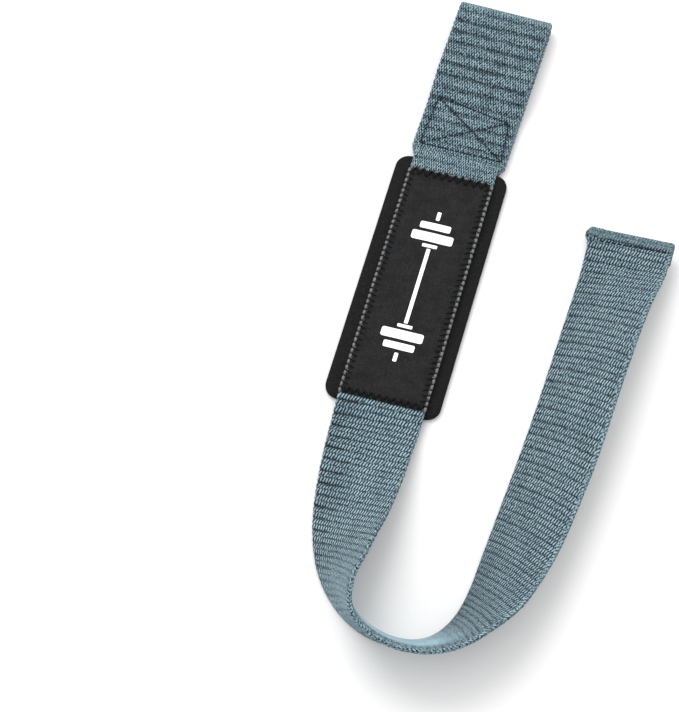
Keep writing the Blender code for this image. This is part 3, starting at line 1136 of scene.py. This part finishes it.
class STRAP_OT_patch(bpy.types.Operator):
    """The patch sewn on over the pad"""

    bl_idname = "strap.patch"
    bl_label = "Patch"

    def execute(self, context):
        deselect()
        low, high = PATCH_LOW, PATCH_HIGH
        bpy.ops.mesh.primitive_grid_add(
            x_subdivisions=PATCH_GRID[0], y_subdivisions=PATCH_GRID[1], size=1.0,
            location=(low + high) / 2)
        obj = take_new("sewn_patch")
        obj.scale = (high.x - low.x, high.y - low.y, 1.0)
        place_in_mesh(obj)
        points = points_of(obj)
        points[:, 2] = patch_level(points[:, 0], points[:, 1])
        set_points(obj, points)
        wall = obj.modifiers.new("wall", "SOLIDIFY")
        wall.thickness = PATCH_WALL
        wall.offset = -1.0
        make_active(obj)
        bpy.ops.object.modifier_apply(modifier="wall")
        obj.data.shade_smooth()
        bpy.ops.object.shade_smooth_by_angle(angle=math.radians(50))
        dress(obj, patch_material())
        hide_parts("patch")
        return {"FINISHED"}


class STRAP_OT_motif(bpy.types.Operator):
    """The plain barbell on the patch"""

    bl_idname = "strap.motif"
    bl_label = "Patch motif"

    def execute(self, context):
        s = sizes()
        middle = (PATCH_LOW + PATCH_HIGH) / 2
        half, wide = s.motif_length / 2, s.motif_width
        blocks = [(0.0, half, MOTIF_BAR)]
        for way in (1, -1):
            for off_tip, length, share in MOTIF_PLATES:
                blocks.append((way * (half - off_tip), length, wide * share))
            blocks.append((way * (half - MOTIF_TIP / 2), MOTIF_TIP, MOTIF_BAR))
        made = []
        for along, length, width in blocks:
            centre = Vector((middle.x, middle.y + along, 0.0))
            reach = Vector((width, length, MOTIF_THICKNESS)) / 2
            corner = min(length, width) * 0.22
            made.append(rounded_slab("motif_block", centre - reach, centre + reach, corner, 0.00003, 1))
        obj = join_as("patch_motif", made)

        # Cut finely, so that it follows the patch's face.
        bpy.ops.object.mode_set(mode="EDIT")
        for direction, reach, cuts in (((0.0, 1.0, 0.0), half, 61), ((1.0, 0.0, 0.0), wide / 2, 15)):
            for place in np.linspace(-reach, reach, cuts):
                bpy.ops.mesh.select_all(action="SELECT")
                bpy.ops.mesh.bisect(plane_co=middle + Vector(direction) * place, plane_no=direction)
        bpy.ops.object.mode_set(mode="OBJECT")
        points = points_of(obj)
        points[:, 2] += patch_level(points[:, 0], points[:, 1]) + MOTIF_PROUD
        set_points(obj, points)
        dress(obj, plain_cloth("white_print", "motif", 0.8, 0.7))
        return {"FINISHED"}


class STRAP_OT_seam(bpy.types.Operator):
    """The crossed seam that shuts the loop"""

    bl_idname = "strap.seam"
    bl_label = "Loop seam"

    def execute(self, context):
        spans = [span for line in seam_lines() for span in line_spans(*line, SEAM_STITCH, 0.12, -0.00015)]
        thread = plain_cloth("seam_thread", "seam_thread", 0.5, 0.6, 0.15)
        sew("loop_seam", spans, sizes().thread, thread)
        return {"FINISHED"}


class STRAP_OT_patch_stitches(bpy.types.Operator):
    """The stitches along the patch's sides and the zigzags over its ends"""

    bl_idname = "strap.patch_stitches"
    bl_label = "Patch stitches"

    def execute(self, context):
        low, high = PATCH_LOW, PATCH_HIGH
        sides, ends = [], []
        for x, way in ((low.x, 1), (high.x, -1)):
            start, end = Vector((x, low.y + 0.001, 0)), Vector((x, high.y - 0.001, 0))
            sides += zigzag_spans(start, end, Vector((way, 0, 0)), 0.0028, 0.0022, 0.0014, back=False)
        for y, way, pitch, inside, outside in (
            (high.y, -1, 0.0037, 0.0036, 0.0008), (low.y, 1, 0.0033, 0.0030, 0.0)
        ):
            start, end = Vector((low.x, y, 0)), Vector((high.x, y, 0))
            ends += zigzag_spans(start, end, Vector((0, way, 0)), pitch, inside, outside)
        thread = plain_cloth("patch_thread", "thread", 0.5, 0.6, 0.1)
        sew("patch_side_stitches", sides, sizes().thread * 1.2, thread)
        sew("patch_stitches", ends, sizes().thread * 1.8, thread)
        return {"FINISHED"}


class STRAP_OT_edge_stitches(bpy.types.Operator):
    """The pale beads of thread along the patch's sides and its upper end"""

    bl_idname = "strap.edge_stitches"
    bl_label = "Edge stitches"

    def execute(self, context):
        low, high, level = PATCH_LOW, PATCH_HIGH, ON_PAD + RIM
        spans = []
        for x in (low.x - EDGE_OFFSET, high.x + EDGE_OFFSET):
            spans += bead_spans(Vector((x, low.y, level)), Vector((x, high.y, level)), 0.0028, 0.86)
        top = high.y + 0.0004
        spans += bead_spans(Vector((low.x, top, level)), Vector((high.x, top, level)), 0.0025, 0.62)
        thread = plain_cloth("edge_thread", "edge_thread", 0.35, 0.7)
        sew("edge_stitches", spans, sizes().thread * 2.4, thread)
        return {"FINISHED"}


class STRAP_OT_hem(bpy.types.Operator):
    """The hem's line of stitches"""

    bl_idname = "strap.hem"
    bl_label = "Hem stitches"

    def execute(self, context):
        start, end = ((SURFACE.hem - HEM_STITCH, across) for across in HEM_LINE)
        spans = line_spans(start, end, HEM_STITCH_LENGTH, 0.16, -0.0001)
        thread = plain_cloth("hem_thread", "seam_thread", 0.4, 0.6, 0.15)
        sew("hem_stitches", spans, sizes().thread * 1.3, thread)
        return {"FINISHED"}


class STRAP_OT_fray(bpy.types.Operator):
    """The loose fibres at the hem's bunched corner"""

    bl_idname = "strap.fray"
    bl_label = "Hem fray"

    def execute(self, context):
        draw = np.random.default_rng(7)
        spans = []
        for _ in range(FRAY_COUNT):
            along = SURFACE.hem - draw.uniform(0.0, 0.0062)
            across = -WEBBING_WIDTH / 2 + draw.uniform(0.0, 0.0065)
            root, normal = SURFACE.on_face(along, across, HEM_CORNER * draw.uniform(0.2, 0.9))
            turn = draw.uniform(0.0, 2 * math.pi)
            lie = np.array([math.cos(turn), math.sin(turn), 0.0]) * draw.uniform(0.0009, 0.0021)
            spans.append((root, root + lie + normal * draw.uniform(-0.0002, 0.0004), normal))
        fibre = plain_cloth("loose_fibres", "yarn", 0.25, 0.8)
        sew("hem_fray", spans, sizes().thread * 0.6, fibre)
        return {"FINISHED"}


def aim(obj, place, towards):
    """Puts a lamp or the camera at its place, looking the given way."""
    obj.location = place
    obj.rotation_mode = "QUATERNION"
    obj.rotation_quaternion = towards.to_track_quat("-Z", "Y")
    bpy.context.scene.collection.objects.link(obj)


class STRAP_OT_stage(bpy.types.Operator):
    """The table, the lights and the camera"""

    bl_idname = "strap.stage"
    bl_label = "Table, lights and camera"

    def execute(self, context):
        scene = context.scene
        deselect()
        bpy.ops.mesh.primitive_plane_add(size=TABLE_SIZE, location=(0.0, 0.0, TABLE_LEVEL))
        table = take_new("table")
        made = bpy.data.materials.new("pale_table")
        made.use_nodes = True
        shader = made.node_tree.nodes["Principled BSDF"]
        shader.inputs["Base Color"].default_value = tuple(colours().table)
        shader.inputs["Roughness"].default_value = 0.9
        table.data.materials.append(made)

        right = Vector((math.cos(VIEW_AZIMUTH), math.sin(VIEW_AZIMUTH), 0.0))
        away = Vector((-math.sin(VIEW_AZIMUTH), math.cos(VIEW_AZIMUTH), 0.0))
        back = UP * math.sin(VIEW_ELEVATION) - away * math.cos(VIEW_ELEVATION)
        camera = bpy.data.cameras.new("camera")
        camera.sensor_width = SENSOR
        camera.lens = PIXELS_PER_METRE * VIEW_DISTANCE * SENSOR / max(PICTURE_SIZE)
        camera.clip_start, camera.clip_end = 0.01, 20.0
        scene.camera = bpy.data.objects.new("camera", camera)
        aim(scene.camera, VIEW_AIM + back * VIEW_DISTANCE, -back)
        for name, side, depth, height, size, power in LAMPS:
            light = bpy.data.lights.new(name, "AREA")
            light.shape = "DISK"
            light.size = size
            light.energy = power
            place = right * side + away * depth + UP * height
            aim(bpy.data.objects.new(name, light), place, VIEW_AIM - place)

        world = bpy.data.worlds.new("studio")
        world.use_nodes = True
        background = world.node_tree.nodes["Background"]
        background.inputs["Color"].default_value = (1.0, 1.0, 1.0, 1.0)
        background.inputs["Strength"].default_value = STUDIO_LIGHT
        scene.world = world
        scene.view_settings.view_transform = "Standard"
        scene.view_settings.look = "None"
        return {"FINISHED"}


OPERATORS = (
    STRAP_OT_webbing, STRAP_OT_pad, STRAP_OT_patch, STRAP_OT_motif, STRAP_OT_seam,
    STRAP_OT_patch_stitches, STRAP_OT_edge_stitches, STRAP_OT_hem, STRAP_OT_fray, STRAP_OT_stage,
)


class STRAP_PT_sidebar(bpy.types.Panel):
    """The strap's sizes, colours and pieces"""

    bl_label = "Strap"
    bl_idname = "STRAP_PT_sidebar"
    bl_space_type = "VIEW_3D"
    bl_region_type = "UI"
    bl_category = "Strap"

    def draw(self, context):
        for group, title in ((sizes(), "Sizes"), (colours(), "Colours")):
            box = self.layout.box()
            box.label(text=title)
            for name in type(group).__annotations__:
                box.prop(group, name)
        box = self.layout.box()
        box.label(text="Pieces")
        for operator in OPERATORS:
            box.operator(operator.bl_idname)


CLASSES = (StrapSizes, StrapColours, *OPERATORS, STRAP_PT_sidebar)


def register():
    for cls in CLASSES:
        bpy.utils.register_class(cls)
    bpy.types.Scene.strap_sizes = bpy.props.PointerProperty(type=StrapSizes)
    bpy.types.Scene.strap_colours = bpy.props.PointerProperty(type=StrapColours)


def unregister():
    del bpy.types.Scene.strap_sizes
    del bpy.types.Scene.strap_colours
    for cls in reversed(CLASSES):
        bpy.utils.unregister_class(cls)


def write_sizes():
    """Brings the scene's placings up to date."""
    bpy.context.view_layer.update()


def main():
    register()
    bpy.ops.strap.webbing()
    bpy.ops.strap.pad()
    bpy.ops.strap.patch()
    bpy.ops.strap.motif()
    bpy.ops.strap.seam()
    bpy.ops.strap.patch_stitches()
    bpy.ops.strap.edge_stitches()
    bpy.ops.strap.hem()
    bpy.ops.strap.fray()
    bpy.ops.strap.stage()
    write_sizes()


if __name__ == "__main__":
    main()
